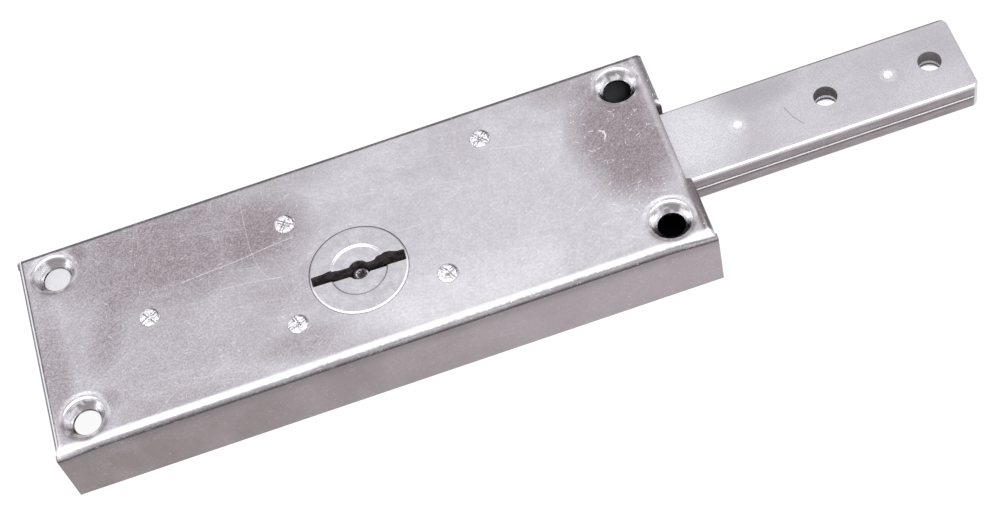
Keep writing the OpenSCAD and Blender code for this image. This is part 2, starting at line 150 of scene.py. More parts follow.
def bevelPicked(width, segments, profile=0.5):
    bpy.ops.mesh.bevel(offset=width * mm, segments=segments, profile=profile, affect="EDGES",
                       clamp_overlap=True)
    leaveEdit()


def runModifier(piece, kind, **values):
    work(piece)
    modifier = piece.modifiers.new(kind.lower(), kind)
    for key, value in values.items():
        setattr(modifier, key, value)
    bpy.ops.object.modifier_apply(modifier=modifier.name)


def cutAway(piece, cutters):
    for cutter in cutters:
        runModifier(piece, "BOOLEAN", operation="DIFFERENCE", object=cutter, solver="EXACT")
        bpy.data.objects.remove(cutter)


def softenEdges(piece, width, segments=2, angle=35, clamp=False):
    runModifier(piece, "BEVEL", width=width * mm, segments=segments, limit_method="ANGLE",
                angle_limit=math.radians(angle), use_clamp_overlap=clamp)


def joinTo(piece, others):
    clearPick()
    for other in others:
        other.select_set(True)
    piece.select_set(True)
    bpy.context.view_layer.objects.active = piece
    bpy.ops.object.join()


def copyOf(piece, name):
    twin = piece.copy()
    twin.data = piece.data.copy()
    twin.name = name
    bpy.context.scene.collection.objects.link(twin)
    return twin


def finishPiece(piece, body, material, standsFor=(), angle=32):
    settle(piece)
    bpy.ops.object.shade_smooth_by_angle(angle=math.radians(angle))
    runModifier(piece, "WEIGHTED_NORMAL", weight=90, keep_sharp=True)
    piece.data.materials.clear()
    piece.data.materials.append(material)
    if standsFor:
        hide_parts(*standsFor)
    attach(piece, body)


# Shader tools
class Wire:
    # a socket that can stand in a sum
    def __init__(self, tree, socket):
        self.tree = tree
        self.socket = socket

    def calc(self, operation, *values):
        node = self.tree.nodes.new("ShaderNodeMath")
        node.operation = operation
        for place, value in zip(node.inputs, values):
            if isinstance(value, Wire):
                self.tree.links.new(value.socket, place)
            else:
                place.default_value = value
        return Wire(self.tree, node.outputs[0])

    def __add__(self, other):
        return self.calc("ADD", self, other)

    def __sub__(self, other):
        return self.calc("SUBTRACT", self, other)

    def __rsub__(self, other):
        return self.calc("SUBTRACT", other, self)

    def __mul__(self, other):
        return self.calc("MULTIPLY", self, other)

    def __truediv__(self, other):
        return self.calc("DIVIDE", self, other)

    def __pow__(self, other):
        return self.calc("POWER", self, other)

    def __abs__(self):
        return self.calc("ABSOLUTE", self)

    __radd__ = __add__
    __rmul__ = __mul__

    def most(self, other):
        return self.calc("MAXIMUM", self, other)

    def least(self, other):
        return self.calc("MINIMUM", self, other)


class Finish:
    # one node material with its coordinates in millimetres
    def __init__(self, name):
        self.material = bpy.data.materials.new(name)
        self.material.use_nodes = True
        self.tree = self.material.node_tree
        self.shader = self.tree.nodes["Principled BSDF"]
        spot = self.add("ShaderNodeTexCoord", out="Object")
        self.spot = self.add("ShaderNodeVectorMath", {"operation": "SCALE"}, {0: spot, "Scale": 1 / mm})
        self.x, self.y, self.z = self.axes(self.spot)

    def add(self, kind, settings=None, values=None, out=0):
        node = self.tree.nodes.new(kind)
        for key, value in (settings or {}).items():
            setattr(node, key, value)
        for key, value in (values or {}).items():
            self.feed(node.inputs[key], value)
        if isinstance(out, tuple):
            return [Wire(self.tree, node.outputs[name]) for name in out]
        return Wire(self.tree, node.outputs[out])

    def feed(self, place, value):
        if isinstance(value, Wire):
            self.tree.links.new(value.socket, place)
        elif isinstance(value, tuple) and place.type == "RGBA":
            place.default_value = (*value, 1)
        else:
            place.default_value = value

    def axes(self, vector):
        return self.add("ShaderNodeSeparateXYZ", None, {0: vector}, out=("X", "Y", "Z"))

    def step(self, value, low, high):
        return self.add("ShaderNodeMapRange", {"interpolation_type": "SMOOTHSTEP"},
                        {"Value": value, "From Min": low, "From Max": high})

    def band(self, value, middle, full, none):
        # one on both sides of the middle as far as full, nothing beyond none
        return 1 - self.step(abs(value - middle), full, none)

    def noise(self, scale, detail=2.0, spot=None, rough=0.5, twist=0.0):
        return self.add("ShaderNodeTexNoise", None,
                        {"Vector": spot or self.spot, "Scale": scale, "Detail": detail,
                         "Roughness": rough, "Distortion": twist})

    def turned(self, angle, stretch, shift=(0.0, 0.0, 0.0)):
        # the coordinates turned in the plane, then stretched
        return self.add("ShaderNodeMapping", {"vector_type": "TEXTURE"},
                        {"Vector": self.spot, "Rotation": (0, 0, math.radians(angle)),
                         "Scale": tuple(1 / value for value in stretch), "Location": shift})

    def specks(self, scale, size, share, spot=None):
        distance, shade = self.add("ShaderNodeTexVoronoi", {"feature": "F1"},
                                   {"Vector": spot or self.spot, "Scale": scale, "Randomness": 1.0},
                                   out=("Distance", "Color"))
        chance, _, _ = self.axes(shade)
        return (1 - self.step(distance, size * 0.5, size)) * self.step(chance, 1 - share, 1 - share + 0.05)

    def strokes(self, angle, scale, size, share, seed):
        # short scratches scattered at one angle
        return self.specks(scale, size, share, self.turned(angle, (0.22, 1.5, 1.5), (seed, seed * 1.7, 0)))

    def scratches(self, angle, long, wide, share, seed):
        # broken hair lines that run at one angle
        stretch = (1 / long, 1 / wide, 1 / wide)
        lines = self.noise(1.0, 1.0, self.turned(angle, stretch, (seed, seed * 0.7, 0)))
        kept = self.noise(0.11, 2.0, self.turned(angle, (0.5, 1, 1), (seed * 3.1, 0, seed)))
        return (1 - self.step(abs(lines - 0.5), 0.0, 0.02)) * self.step(kept, 1 - share, 1 - share + 0.08)

    def mix(self, mask, first, second):
        return self.add("ShaderNodeMix", {"data_type": "RGBA"}, {0: mask, 6: first, 7: second}, out=2)

    def patch(self, x, y, wide, high, turn=0.0):
        # soft oval spot round a point
        c, s = math.cos(math.radians(turn)), math.sin(math.radians(turn))
        across, along = self.x - x, self.y - y
        u = (across * c + along * s) / wide
        v = (along * c - across * s) / high
        return (1 - (u * u + v * v)).most(0.0)

    def radius(self, x, y):
        across, along = self.x - x, self.y - y
        return (across * across + along * along) ** 0.5

    def stroke(self, start, end, width):
        # one straight scratch between two points
        dx, dy = end[0] - start[0], end[1] - start[1]
        across, along = self.x - start[0], self.y - start[1]
        part = ((across * dx + along * dy) / (dx * dx + dy * dy)).most(0.0).least(1.0)
        off, up = across - part * dx, along - part * dy
        return 1 - self.step((off * off + up * up) ** 0.5, width * 0.4, width)

    def finish(self, colour, roughness, height, metallic=1.0):
        self.feed(self.shader.inputs["Base Color"], colour)
        self.feed(self.shader.inputs["Roughness"], roughness)
        self.feed(self.shader.inputs["Metallic"], metallic)
        bump = self.add("ShaderNodeBump", None, {"Height": height, "Strength": 1.0, "Distance": mm})
        self.feed(self.shader.inputs["Normal"], bump)
        return self.material


# Camera at the photograph's angle
lookFrom = {"place": (0.0202, -0.28019, 0.42983), "turn": (31.6284, 9.0427, -16.4010), "lens": 78.38}
bpy.ops.object.camera_add(location=lookFrom["place"],
                          rotation=[math.radians(angle) for angle in lookFrom["turn"]])
camera = bpy.context.object
camera.name = "photoCamera"
camera.data.sensor_width = 36
camera.data.lens = lookFrom["lens"]
camera.data.clip_start = 0.01
bpy.context.scene.camera = camera
print("camera placed")


# Zinc plate on the folded case
caseLook = {
    # painted shade: flap, flapRight, flapStreak, fold, end, crease, inside, sinkFar and sinkNear; mauve
    # also paints the dark ring in the countersink rims, and the white speck colour also paints the
    # highlights
    "pale": (0.715, 0.695, 0.747), "middle": (0.635, 0.607, 0.648), "mauve": (0.35, 0.295, 0.315),
    "flap": (0.25, 0.215, 0.22), "flapRight": (0.37, 0.32, 0.345), "flapStreak": (0.42, 0.38, 0.40),
    "fold": (0.13, 0.115, 0.12), "end": (0.16, 0.135, 0.14), "crease": (0.085, 0.072, 0.076),
    "grit": (0.21, 0.17, 0.185), "inside": (0.05, 0.05, 0.055), "speckAndShine": (0.95, 0.94, 0.98), "rough": 0.31,
    "sink": (0.80, 0.79, 0.82), "sinkRing": (0.34, 0.31, 0.33), "sinkFar": (0.22, 0.20, 0.21),
    "sinkNear": (0.20, 0.16, 0.17), "lightFrom": (0.24, 0.97), "burrGlint": (76.6, 12.2),
    # where each part of the folded sheet starts and ends
    "nearFold": (-26.0, -24.5), "farFold": (25.6, 26.1), "leftFold": (75.6, 76.0),
    "rightFold": (74.8, 76.6), "flapTop": (17.2, 17.7), "crestEdge": (-25.6, -24.9),
    "crestLow": (18.1, 18.7), "creaseLow": (16.7, 17.1), "creaseHigh": (17.2, 18.8),
    "foldShadeLow": (18.1, 18.45), "foldShadeHigh": (18.7, 19.0), "endSag": (66, 77),
    "palePatch": (30, -6, 34, 19, 10), "shinePatch": (20, -20, 34, 10),
    # strength, then centre, half sizes and turn of each darker patch: mottled smudges, and painted shade
    # beside the two left countersinks and in the far right corner
    "smudgesAndShade": [
        (0.95, (-43, 15, 33, 15, -6)), (1.2, (65, 6, 13, 20)), (0.75, (-18, 12, 12, 12)),
        (0.5, (-60, -1, 5, 12, -20)), (0.6, (-74, -4, 5, 26)), (0.6, (-17, -20, 13, 5)),
        (0.3, (-45, -25, 22, 5)), (0.45, (60, 24, 16, 6)), (0.5, (73, 23, 8, 8)),
        (0.3, (-48, -8, 34, 22)), (0.3, (-17, -4, 11, 9)), (0.35, (-30, 26, 45, 7)),
        (0.45, (69, 1, 13, 23)), (0.6, (-63.3, 22.7, 3, 3.5)), (0.5, (-62.3, -17.5, 2.5, 3)),
        (0.35, (-4, -25, 10, 4)),
    ],
    # strength, width and the points of the long scratches
    "marks": [
        (1.0, 0.26, [(61.4, 9.3), (62.3, 8.7), (62.4, 7.5), (61.9, 6.6)]),
        (0.5, 0.17, [(-40.5, 6.2), (-26, 7.1), (-20, 7.9), (-13.4, 8.4)]),
        (0.3, 0.15, [(-23.1, 21.8), (-23.4, 16), (-23.6, 9), (-22.8, 3), (-21.0, -0.6), (-17.6, -1.4)]),
        (0.35, 0.15, [(-32.6, 0.9), (-26, 0.3), (-18.7, -1.1)]),
        (0.2, 0.13, [(-18.5, -0.5), (-15.9, -14.2)]),
        (0.45, 0.14, [(9.8, 0.6), (15.7, 0.4)]),
        (0.5, 0.16, [(36.2, 14.2), (45.3, 11.7)]),
    ],
}


def caseZinc(name, sinks=()):
    look = caseLook
    paint = Finish(name)
    x, y, z = paint.x, paint.y, paint.z
    clouds = paint.noise(0.045, 4.0, None, 0.6, 0.8)
    mottle = paint.noise(0.35, 3.0, None, 0.6)
    fine = paint.noise(1.6, 3.0, None, 0.7)
    colour = paint.mix(paint.step(clouds + mottle * 0.3, 0.5, 0.78), look["middle"], look["pale"])
    # mottled smudges, with painted shade patches among them
    smudgeAndShade = 0.0
    for strength, place in look["smudgesAndShade"]:
        smudgeAndShade = paint.patch(*place) * strength + smudgeAndShade
    smudgeAndShade = (smudgeAndShade * (mottle * 1.3 + 0.2)).least(1.0)
    colour = paint.mix(smudgeAndShade, colour, look["mauve"])
    colour = paint.mix(paint.patch(*look["palePatch"]) * 0.7, colour, look["pale"])
    # painted highlight on the face towards the near fold
    colour = paint.mix(paint.patch(*look["shinePatch"]) * 0.45, colour, look["speckAndShine"])
    colour = paint.mix(paint.step(fine, 0.35, 0.62) * 0.22, colour, look["mauve"])
    # the darker patches and the left end are gritty
    grit = paint.step(paint.noise(2.2, 3.0, None, 0.85), 0.42, 0.58)
    dull = (smudgeAndShade * 0.45 + (1 - paint.step(x, -50, 10)) * 0.16 + 0.08).least(0.6)
    colour = paint.mix(grit * dull, colour, look["grit"])
    colour = paint.mix((1 - grit) * (dull - 0.1).most(0.0) * 0.4, colour, look["pale"])

    # painted shade: the flaps and the folds away from the light are painted darker, the flaps with lighter
    # streaks
    near = 1 - paint.step(y, *look["nearFold"])
    level = z + paint.step(abs(x), *look["endSag"]) * near * 0.8
    side = 1 - paint.step(level, *look["flapTop"])
    fold = paint.step(y, *look["farFold"]) + paint.step(x * -1.0, *look["leftFold"]) * (1 - near)
    ends = paint.step(x + paint.step(y * -1.0, 8, 14) * 1.3, *look["rightFold"]) * (1 - near)
    line = paint.band(x, -76.35, 0.1, 0.3) * paint.step(z, 17.5, 18.0)
    streak = paint.noise(1.0, 3.0, paint.turned(0, (0.12, 0.12, 0.05)))
    flapColour = paint.mix(paint.step(x, -75, 75), look["flap"], look["flapRight"])
    streaky = paint.step(clouds * 0.4 + streak * 0.6, 0.38, 0.68) * 0.3
    flapColour = paint.mix(streaky, flapColour, look["flapStreak"])
    # painted shade on the near flap just under the fold, darker towards the top
    flapColour = paint.mix(paint.step(z, 13.0, 16.6) * near * 0.35, flapColour, look["fold"])
    colour = paint.mix(side, colour, flapColour)
    # painted highlight along the crest of the near fold
    crest = (1 - paint.step(y, *look["crestEdge"])) * paint.step(level, *look["crestLow"])
    colour = paint.mix(crest * (mottle * 0.5 + 0.6).least(1.0), colour, look["speckAndShine"])
    # painted shade in a blotchy band on the upper near fold, stronger to the right
    upperFoldShade = paint.step(x, -60, 0) * 0.35 + paint.noise(0.7, 3.0, None, 0.6) * 0.7
    upperFoldShade = upperFoldShade * paint.step(level, *look["foldShadeLow"]) * (1 - paint.step(level, *look["foldShadeHigh"])) * near
    colour = paint.mix(upperFoldShade.least(0.9), colour, look["fold"])
    # painted shade in the crease under the near fold's highlight
    crease = paint.step(level, *look["creaseLow"]) * (1 - paint.step(level, *look["creaseHigh"])) * near
    colour = paint.mix(crease * paint.step(mottle, 0.05, 0.4), colour, look["crease"])
    # painted shade along the far and left folds, then on the right end fold
    colour = paint.mix(fold.least(1.0) * paint.step(z, 16.8, 17.4), colour, look["fold"])
    colour = paint.mix(ends * paint.step(z, 16.0, 17.4) * 0.9, colour, look["end"])
    # painted highlights: a line along the left end fold, a glint at the burr by the bolt opening and a
    # faint line along the opening's edge
    burrGlint = 1 - paint.step(paint.radius(*look["burrGlint"]), 0.4, 0.9)
    light = paint.band(x, 74.6, 0.2, 0.8) * paint.step(z, 18.5, 18.9) * 0.2
    colour = paint.mix((line + burrGlint * paint.step(z, 14, 15) + light).least(1.0), colour, look["speckAndShine"])

    dots = paint.specks(0.9, 0.17, 0.5) + paint.specks(1.9, 0.2, 0.4) * 0.75
    dense = 0.35 + paint.step(x, 20, 66) * 0.55
    nicks = paint.strokes(25, 1.0, 0.16, 0.3, 4.0) + paint.strokes(-40, 0.9, 0.15, 0.3, 9.0) \
        + paint.strokes(80, 1.1, 0.16, 0.28, 15.0) + paint.strokes(2, 0.7, 0.13, 0.3, 21.0)
    hair = paint.scratches(-12, 30, 0.35, 0.5, 3.0) + paint.scratches(38, 22, 0.3, 0.5, 11.0) \
        + paint.scratches(72, 18, 0.3, 0.45, 23.0)
    marks = 0.0
    for strength, width, points in look["marks"]:
        for start, end in zip(points, points[1:]):
            marks = paint.stroke(start, end, width) * strength + marks
    marks = marks * (paint.step(fine, 0.3, 0.5) * 0.6 + 0.4)
    dust = paint.specks(2.6, 0.24, 0.35) * paint.step(mottle, 0.3, 0.55)
    nicks = nicks * (paint.step(x, 40, 60) * 0.35 + 0.55)
    bright = (dots * dense + nicks + hair * 0.3 + marks + dust * 0.5).least(1.0)
    colour = paint.mix(bright * (1 - side * 0.6), colour, look["speckAndShine"])

    rough = look["rough"] + mottle * 0.12 - bright * 0.1 + side * 0.06
    height = fine * 0.016 + mottle * 0.05 + bright * 0.014
    if sinks:
        # painted highlights on the rolled rims with a painted dark ring inside them, and painted
        # reflections: a grey patch at the far side of each cone and a brown near side
        shiny, patch, brown, rim, rings = 0.0, 0.0, 0.0, 0.0, 0.0
        for centre in sinks:
            ring = paint.radius(*centre)
            aim = ((x - centre[0]) * look["lightFrom"][0] + (y - centre[1]) * look["lightFrom"][1]) / ring
            height = height + paint.step(ring, 5.4, 6.9) * 0.2
            shiny = (1 - paint.step(ring, 5.3, 6.2)) + shiny
            patch = paint.step(aim, 0.78, 0.9) * (1 - paint.step(ring, 4.5, 4.9)) + patch
            around = paint.add("ShaderNodeCombineXYZ", None, {0: ring * 1.5, 1: aim * 1.3})
            spun = paint.noise(1.0, 2.0, around)
            rings = paint.step(spun, 0.5, 0.62) * (1 - paint.step(ring, 5.6, 6.0)) + rings
            brown = (1 - paint.step(aim, -0.35, 0.1)) * (1 - paint.step(ring, 5.6, 6.3)) + brown
            rim = paint.band(ring, 5.65, 0.1, 0.45) * 0.6 - paint.band(ring, 5.1, 0.1, 0.3) * 0.35 + rim
        patchyLight = paint.noise(0.45, 2.0, None, 0.5, 0.6)
        colour = paint.mix(shiny.least(1.0) * 0.85, colour, look["sink"])
        colour = paint.mix(rings.least(1.0) * 0.65, colour, look["sinkRing"])
        colour = paint.mix(rim.most(0.0) * paint.step(patchyLight, 0.35, 0.6), colour, look["speckAndShine"])
        colour = paint.mix((rim * -1.0).most(0.0), colour, look["mauve"])
        patch = (patch * paint.step(patchyLight, 0.3, 0.5)).least(1.0) * 0.8
        colour = paint.mix(patch, colour, look["sinkFar"])
        brown = (brown * paint.step(patchyLight, 0.25, 0.6)).least(1.0) * 0.75
        colour = paint.mix(brown, colour, look["sinkNear"])
        rough = (rough - shiny * 0.18).most(0.13)
        height = height + patchyLight * shiny * 0.06
    # painted light and shade inside the case: the inner walls at the open left end are painted near white,
    # the rest of the inside near black
    lining = (1 - paint.step(abs(y), 26.1, 26.4)) * (1 - paint.step(abs(x), 75.8, 76.1)) \
        * (1 - paint.step(z, 15.6, 15.9))
    hidden = paint.step(x, -62, -58)
    colour = paint.mix(lining * (1 - hidden), colour, look["speckAndShine"])
    colour = paint.mix(lining * hidden, colour, look["inside"])
    return paint.finish(colour, rough, height)


# Folded case
case = {
    "length": 155.0, "width": 55.0, "height": 19.0, "sheet": 1.5, "fold": 2.0, "horn": 0.3,
    "hornLong": 1.7, "slit": 0.3, "leftCorner": 1.5, "rightCorner": 2.5, "sinkRoll": 0.85, "sinkTilt": 47,
    "sinks": [(-69, -20), (-69, 20), (69, -20), (69, 20)], "sinkRadius": 5.45, "holeRadius": 3.15,
    "rotorHole": (-1, -6, 11.68), "stakeRadius": 2.52,
    "stakes": [(-49.7, 0), (-17.6, -14.6), (-14.3, 12.65), (34.8, 18), (17.9, -14.5)],
    "opening": (-10.8, 11.4, 8.6), "edge": 0.12,
}


def cornerCutter(x, y):
    # what is left outside a rounded corner in plan
    radius = case["rightCorner"] if x > 0 else case["leftCorner"]
    sx, sy = (1 if x > 0 else -1), (1 if y > 0 else -1)
    inner = (x - sx * radius, y - sy * radius)
    outline = [(x + sx, y + sy), (inner[0], y + sy), (inner[0], y)]
    for n in range(1, 8):
        angle = math.radians(90 - n * 90 / 8)
        outline.append((inner[0] + sx * radius * math.cos(angle), inner[1] + sy * radius * math.sin(angle)))
    return stampShape("cornerCutter", outline + [(x, inner[1]), (x + sx, inner[1])], 17.0, 20.0)


def makeCase():
    half, side, top = case["length"] / 2, case["width"] / 2, case["height"]
    end, sheet = half - case["horn"], case["sheet"]
    shell = startBox("caseShell", (-end, -side, 0), (end, side, top))
    pick(shell, "FACE", lambda centre, normal: normal.z < -0.9)
    bpy.ops.mesh.delete(type="FACE")
    leaveEdit()
    pick(shell, "EDGE", lambda a, b: a.z > top - 0.1 and b.z > top - 0.1)
    bevelPicked(case["fold"], 8)
    runModifier(shell, "SOLIDIFY", thickness=sheet * mm, offset=-1.0, use_even_offset=True,
                use_rim=True)

    # both left corners and the near right one are pulled out a little
    horns = []
    for signX, signY in ((-1, -1), (-1, 1), (1, -1)):
        xs = sorted((signX * (half - case["hornLong"]), signX * half))
        ys = sorted((signY * (side - sheet), signY * side))
        horns.append(startBox("horn", (xs[0], ys[0], 0), (xs[1], ys[1], top - case["fold"])))
    for horn in horns:
        runModifier(shell, "BOOLEAN", operation="UNION", object=horn, solver="EXACT")
        bpy.data.objects.remove(horn)

    cutters = []
    for signX, signY in ((-1, -1), (-1, 1), (1, -1), (1, 1)):
        xs = sorted((signX * (end - sheet), signX * (half + 1)))
        ys = sorted((signY * (side - sheet), signY * (side - sheet - case["slit"])))
        cutters.append(startBox("slit", (xs[0], ys[0], -1), (xs[1], ys[1], top - case["fold"])))
    low, high, sill = case["opening"]
    cutters.append(startBox("opening", (end - sheet, low, sill), (half + 1, high, top + 1)))
    x, y, radius = case["rotorHole"]
    cutters.append(startRod("rotorHole", (x, y), radius, top - 3, top + 1, 128))
    for place in case["stakes"]:
        cutters.append(startRod("stakeHole", place, case["stakeRadius"], top - 3, top + 1, 48))
    cutters += [cornerCutter(end, side), cornerCutter(-end, side)]
    cutAway(shell, cutters)
    softenEdges(shell, case["edge"], 2, 40, True)

    # pressed countersinks: a hole through the sheet, its wall taken out, a spun dimple welded in
    sinkR, holeR = case["sinkRadius"], case["holeRadius"]
    cutAway(shell, [startRod("sinkHole", place, sinkR, top - 3, top + 1, 96) for place in case["sinks"]])
    pick(shell, "FACE", lambda centre, normal: abs(normal.z) < 0.2 and top - sheet < centre.z < top and min(
        abs(math.hypot(centre.x - x, centre.y - y) - sinkR) for x, y in case["sinks"]) < 0.05)
    bpy.ops.mesh.delete(type="FACE")
    leaveEdit()
    profile, roll, steps = [(sinkR, top)], case["sinkRoll"], 6
    for turn in range(1, steps + 1):
        angle = math.radians(turn * case["sinkTilt"] / steps)
        profile.append((sinkR - roll * math.sin(angle), top - roll * (1 - math.cos(angle))))
    profile += [(holeR + 0.35, top - 1.95), (holeR + 0.1, top - 2.2), (holeR, top - 2.45),
                (holeR, top - 2.85), (holeR + 0.15, top - 3.0), (holeR + 0.95, top - 3.0),
                (holeR + 1.15, top - 2.9), (sinkR + 0.7, top - 1.56), (sinkR, top - sheet)]
    dimple = turnShape("dimple", profile, (0, 0), 96, closed=False)
    dimples = []
    for x, y in case["sinks"]:
        twin = copyOf(dimple, "dimpleCopy")
        twin.location = (x * mm, y * mm, 0)
        settle(twin)
        dimples.append(twin)
    bpy.data.objects.remove(dimple)
    joinTo(shell, dimples)
    bpy.ops.object.mode_set(mode="EDIT")
    bpy.ops.mesh.select_all(action="SELECT")
    bpy.ops.mesh.remove_doubles(threshold=0.000003)
    bpy.ops.mesh.normals_make_consistent(inside=False)
    leaveEdit()
    shell.name = "foldedCase"
    finishPiece(shell, "case", caseZinc("caseZinc", sinks=case["sinks"]), ("case_shell",))
    return shell


shell = makeCase()
print("case folded:", len(shell.data.polygons), "faces")


# Keyway rotor
rotor = {
    "place": (-1, -6), "radius": 11.6, "flange": 13.4, "low": 14.2, "step": 17.4, "top": 19.3,
    "recess": 6.5, "depth": 0.4, "turn": -1.9, "halfLength": 11.1, "halfWidth": 1.2, "rise": 0.2,
    "hub": 2.55, "edge": 0.14,
    "zincLow": (0.66, 0.64, 0.68), "zincHigh": (0.78, 0.765, 0.81), "turned": (0.62, 0.59, 0.63),
    # wall, rim, wellDark and wellPale are painted shade; bright also paints the highlight on the near rim
    "wall": (0.20, 0.17, 0.18), "rim": (0.25, 0.22, 0.235), "grit": (0.40, 0.36, 0.385),
    "wellDark": (0.055, 0.045, 0.048), "wellPale": (0.13, 0.105, 0.11), "bright": (0.95, 0.94, 0.98),
}


def slotOutline():
    # the upper side carries a ward bump on each wing, the hub swells both sides
    def upper(x):
        lift = 1.0 / (1 + math.exp(-(x - 4.3) * 4)) * 0.95 - 0.7 / (1 + math.exp(-(x - 8.4) * 2.6))
        left = 0.32 * math.exp(-((x + 6.3) / 1.5) ** 2)
        level = rotor["rise"] + rotor["halfWidth"] + 0.02 + lift + left
        return max(level, math.sqrt(max(rotor["hub"] ** 2 - x * x, 0)))

    def lower(x):
        level = -rotor["halfWidth"]
        return min(level, -math.sqrt(max(rotor["hub"] ** 2 - x * x, 0)))

    half = rotor["halfLength"]
    stations = [-half + 0.25] + [-half + 0.6 + n * 0.35 for n in range(61)] + [half - 0.25]
    stations = [x for x in stations if -half < x < half]
    bottom = [(x, lower(x)) for x in stations]
    top = [(x, upper(x)) for x in reversed(stations)]
    corners = [(half, lower(half) + 0.25), (half, upper(half) - 0.25)]
    others = [(-half, upper(-half) - 0.25), (-half, lower(-half) + 0.25)]
    return bottom + corners + top + others


def rotorZinc():
    paint = Finish("rotorZinc")
    x, y = rotor["place"]
    ring = paint.radius(x, y)
    mottle = paint.noise(0.5, 3.0, None, 0.6)
    around = paint.add("ShaderNodeCombineXYZ", None, {0: ring * 2.6, 1: mottle * 0.3})
    turned = paint.noise(1.0, 2.0, around)
    colour = paint.mix(paint.step(mottle, 0.35, 0.7), rotor["zincLow"], rotor["zincHigh"])
    colour = paint.mix(paint.step(turned, 0.4, 0.65) * 0.3, colour, rotor["turned"])
    # painted shade on the near side of the recess wall and on the far half of the rim, a painted highlight
    # on the near rim
    wall = paint.band(ring, 6.6, 0.12, 0.3) * (1 - paint.step(paint.y, y - 2, y + 1))
    colour = paint.mix(wall * 0.8, colour, rotor["wall"])
    edge = paint.step(ring, 11.1, 11.3) * paint.step(paint.y, y - 1, y + 3)
    colour = paint.mix(edge * paint.step(mottle, 0.2, 0.6) * 0.8, colour, rotor["rim"])
    lower = paint.step(ring, 11.0, 11.25) * (1 - paint.step(paint.y, y - 2.5, y + 1.5))
    colour = paint.mix(lower * (mottle * 0.8 + 0.35).least(1.0), colour, rotor["bright"])
    grit = paint.step(paint.noise(2.4, 3.0, None, 0.8), 0.38, 0.58)
    colour = paint.mix(grit * 0.3, colour, rotor["grit"])
    # painted shade: everything under the face, the slot walls and the hub among it, is painted dark brown
    well = 1 - paint.step(paint.z, 18.5, 18.85)
    wellColour = paint.mix(paint.step(mottle, 0.4, 0.6), rotor["wellDark"], rotor["wellPale"])
    colour = paint.mix(well, colour, wellColour)
    hair = paint.scratches(15, 9, 0.25, 0.45, 5.0) + paint.scratches(-64, 9, 0.25, 0.42, 9.0)
    bright = (paint.specks(1.1, 0.16, 0.3) * 0.5 + hair * 0.3).least(1.0)
    colour = paint.mix(bright, colour, rotor["bright"])
    grain = paint.noise(4.0, 3.0, None, 0.6)
    return paint.finish(colour, 0.27 + mottle * 0.1 - bright * 0.08 + lower * 0.2,
                        grain * 0.006 + turned * 0.008 + bright * 0.008 + mottle * 0.03, 1 - well * 0.7)


def makeRotor():
    r, low, step, top = rotor["radius"], rotor["low"], rotor["step"], rotor["top"]
    well, floor, flange = rotor["recess"], rotor["top"] - rotor["depth"], rotor["flange"]
    profile = [
        (0, floor), (well - 0.35, floor), (well - 0.12, floor + 0.06), (well, floor + 0.18),
        (well + 0.1, top - 0.1), (well + 0.32, top), (r - 0.52, top), (r - 0.28, top - 0.08),
        (r - 0.08, top - 0.24), (r, top - 0.4), (r, step), (flange - 0.1, step), (flange, step - 0.1),
        (flange, low + 0.1), (flange - 0.1, low), (0, low)]
    plug = turnShape("keywayRotor", profile, (0, 0), 144)
    slot = stampShape("slotCutter", slotOutline(), low - 0.5, top + 0.5)
    slot.rotation_euler = (0, 0, math.radians(rotor["turn"]))
    settle(slot)
    cutAway(plug, [slot])
    softenEdges(plug, rotor["edge"], 2, 50, True)
    plug.location = (rotor["place"][0] * mm, rotor["place"][1] * mm, 0)
    settle(plug)
    finishPiece(plug, "rotor", rotorZinc(), ("keyway_rotor",))


makeRotor()
print("rotor turned and slotted")


# Bolt plates
bolt = {
    "half": 10.5, "tip": 146.5, "corner": 1.8, "low": 8.8, "middle": 12.6, "top": 16.4, "topStart": 51.0,
    "fullStart": 39.0, "tailStart": -40.0, "tail": (2.6, 10.5), "notches": (3.3, 8.7, 17.3, 22.7),
    "notchTop": 5.4, "links": (113.1, 138.5), "linkRadius": 2.7, "rivets": (55.2, 91.8, 128.4),
    "rivetRadius": 1.12, "stump": (46, 3), "stumpRadius": 1.42, "roll": 0.8, "lowRoll": 0.3,
    "cup": (4.2, 2.6), "edge": 0.12,
    "scratch": [(103.3, 0.7), (103.8, -1.0), (104.4, -2.8), (105.9, -5.2)],
}
boltLook = {
    # seamLight and light are painted highlights, farRoll and bore painted shade
    "low": (0.635, 0.615, 0.655), "high": (0.71, 0.695, 0.74), "wallLow": (0.23, 0.195, 0.205),
    "wallHigh": (0.31, 0.275, 0.285), "seamLight": (0.95, 0.94, 0.97), "seamOver": (0.09, 0.075, 0.08),
    "seamUnder": (0.07, 0.058, 0.062), "scratch": (0.20, 0.17, 0.18), "farRoll": (0.15, 0.13, 0.14),
    "bore": (0.06, 0.05, 0.052), "light": (0.92, 0.92, 0.97), "smear": (0.36, 0.32, 0.35),
    "grit": (0.36, 0.33, 0.355), "bright": (0.94, 0.94, 0.98), "shine": (80, 1, 15, 13, -10),
    "smears": [(0.45, (98, 7.5, 13, 6)), (0.5, (62, 6, 12, 5)), (0.4, (142, 4, 10, 9))],
}


